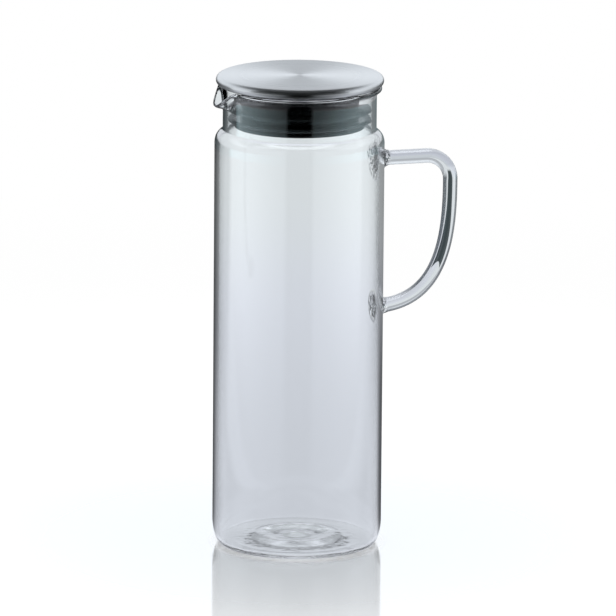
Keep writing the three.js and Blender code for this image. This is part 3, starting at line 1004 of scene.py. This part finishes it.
def world_level(tree, rays, direction):
    """How bright each kind of ray finds a direction.

    The camera sees white. Clear glass mirrors a bright ceiling and a dark camera side, brushed and
    moulded surfaces a bright horizon.
    """
    rise = coordinates(tree, direction)[2]
    turn = front_turn(tree, direction)
    horizon = span(tree, rise, *HORIZON)
    around = product(tree, horizon, turn_span(tree, turn, *CAMERA_SIDE))
    ceiling = calc(tree, "MAXIMUM", span(tree, rise, *CEILING), around)
    outside = choose(tree, rays.sharp, horizon, ceiling)
    inside = product(tree, span(tree, rise, *INSIDE_SKY), turn_span(tree, turn, *INSIDE_TURN))
    reflected = choose(tree, rays.through, outside, inside)
    unreflected = choose(tree, rays.through, AMBIENT, span(tree, rise, *SKY_BEHIND))
    level = choose(tree, rays.mirrored, unreflected, reflected)
    twice = calc(tree, "GREATER_THAN", add(tree, "LightPath").outputs["Glossy Depth"], 1.5)
    level = product(tree, level, choose(tree, twice, 1.0, MIRRORED_TWICE))
    return choose(tree, rays.camera, level, 1.0)


def make_world():
    world = bpy.data.worlds.new("studio")
    world.use_nodes = True
    world.cycles.sampling_method = "NONE"
    bpy.context.scene.world = world
    tree = world.node_tree
    tree.nodes.clear()
    rays = ray_kinds(tree)
    direction = add(tree, "TexCoord").outputs["Generated"]
    indirect = calc(tree, "MAXIMUM", rays.through, rays.mirrored)
    inputs = {"Color": blend(tree, indirect, WHITE, COOL), "Strength": world_level(tree, rays, direction)}
    background = add(tree, "Background", inputs)
    tree.links.new(background.outputs[0], add(tree, "OutputWorld").inputs[0])


# Lamps: width, height and radiance
OVERHEAD_LAMP = (1.6, 1.6, 3.2)
OVERHEAD_HEIGHT = 2.2
FRONT_LAMP = (0.75, 1.0, 1.2)
FRONT_LAMP_HEIGHT = 0.95
FRONT_LAMP_DISTANCE = 0.8
FRONT_LAMP_TURN = math.radians(52)


def make_softbox(name, place, aim, width, tall, radiance):
    """A soft rectangular lamp, hidden but for the light that it throws."""
    lamp = bpy.data.lights.new(name, "AREA")
    lamp.shape = "RECTANGLE"
    lamp.size = width
    lamp.size_y = tall
    lamp.energy = radiance * math.pi * width * tall
    holder = bpy.data.objects.new(name, lamp)
    holder.location = place
    holder.rotation_mode = "QUATERNION"
    holder.rotation_quaternion = (aim - place).to_track_quat("-Z", "Y")
    holder.visible_camera = False
    holder.visible_transmission = False
    holder.visible_glossy = False
    bpy.context.scene.collection.objects.link(holder)


def make_lamps():
    make_softbox("overhead", UP * OVERHEAD_HEIGHT, Vector(), *OVERHEAD_LAMP)
    aim = UP * FRONT_LAMP_HEIGHT
    for name, turn in (("left_front", -FRONT_LAMP_TURN), ("right_front", FRONT_LAMP_TURN)):
        towards = FRONT * math.cos(turn) + RIGHT * math.sin(turn)
        make_softbox(name, aim + towards * FRONT_LAMP_DISTANCE, aim, *FRONT_LAMP)


# Dark screen
FLAG_TURN = math.radians(65)  # to each side
FLAG_RADIUS = 0.3
FLAG_LOW = 0.265
FLAG_HIGH = 0.9
FLAG_LEVEL = 0.015
FLAG_STEPS = 24


def make_front_flag():
    """A dark curved screen in front, from the lid up, that darkens the front edge of the steel.

    The camera and clear glass don't see it, and it casts no shadow.
    """
    points, faces = [], []
    for i in range(FLAG_STEPS + 1):
        turn = FLAG_TURN * (2 * i / FLAG_STEPS - 1)
        place = (FRONT * math.cos(turn) + RIGHT * math.sin(turn)) * FLAG_RADIUS
        points += [(*place.xy, FLAG_LOW), (*place.xy, FLAG_HIGH)]
    for i in range(FLAG_STEPS):
        faces.append((2 * i, 2 * i + 2, 2 * i + 3, 2 * i + 1))
    flag = mesh_object("front_flag", points, faces)
    made, tree, out = material("front_flag")
    clear = add(tree, "BsdfTransparent", {0: WHITE}).outputs[0]
    sharp = add(tree, "LightPath").outputs["Is Singular Ray"]
    tree.links.new(mix(tree, sharp, glow(tree, COOL, FLAG_LEVEL), clear), out.inputs[0])
    made.cycles.emission_sampling = "NONE"
    flag.data.materials.append(made)
    flag.visible_camera = False
    flag.visible_diffuse = False
    flag.visible_shadow = False
    flag.visible_transmission = False


make_camera()
make_floor()
make_world()
make_lamps()
make_front_flag()
make_pitcher()

scene = bpy.context.scene
scene.cycles.max_bounces = 32
scene.cycles.glossy_bounces = 16
scene.cycles.transmission_bounces = 24
scene.view_settings.view_transform = "Standard"
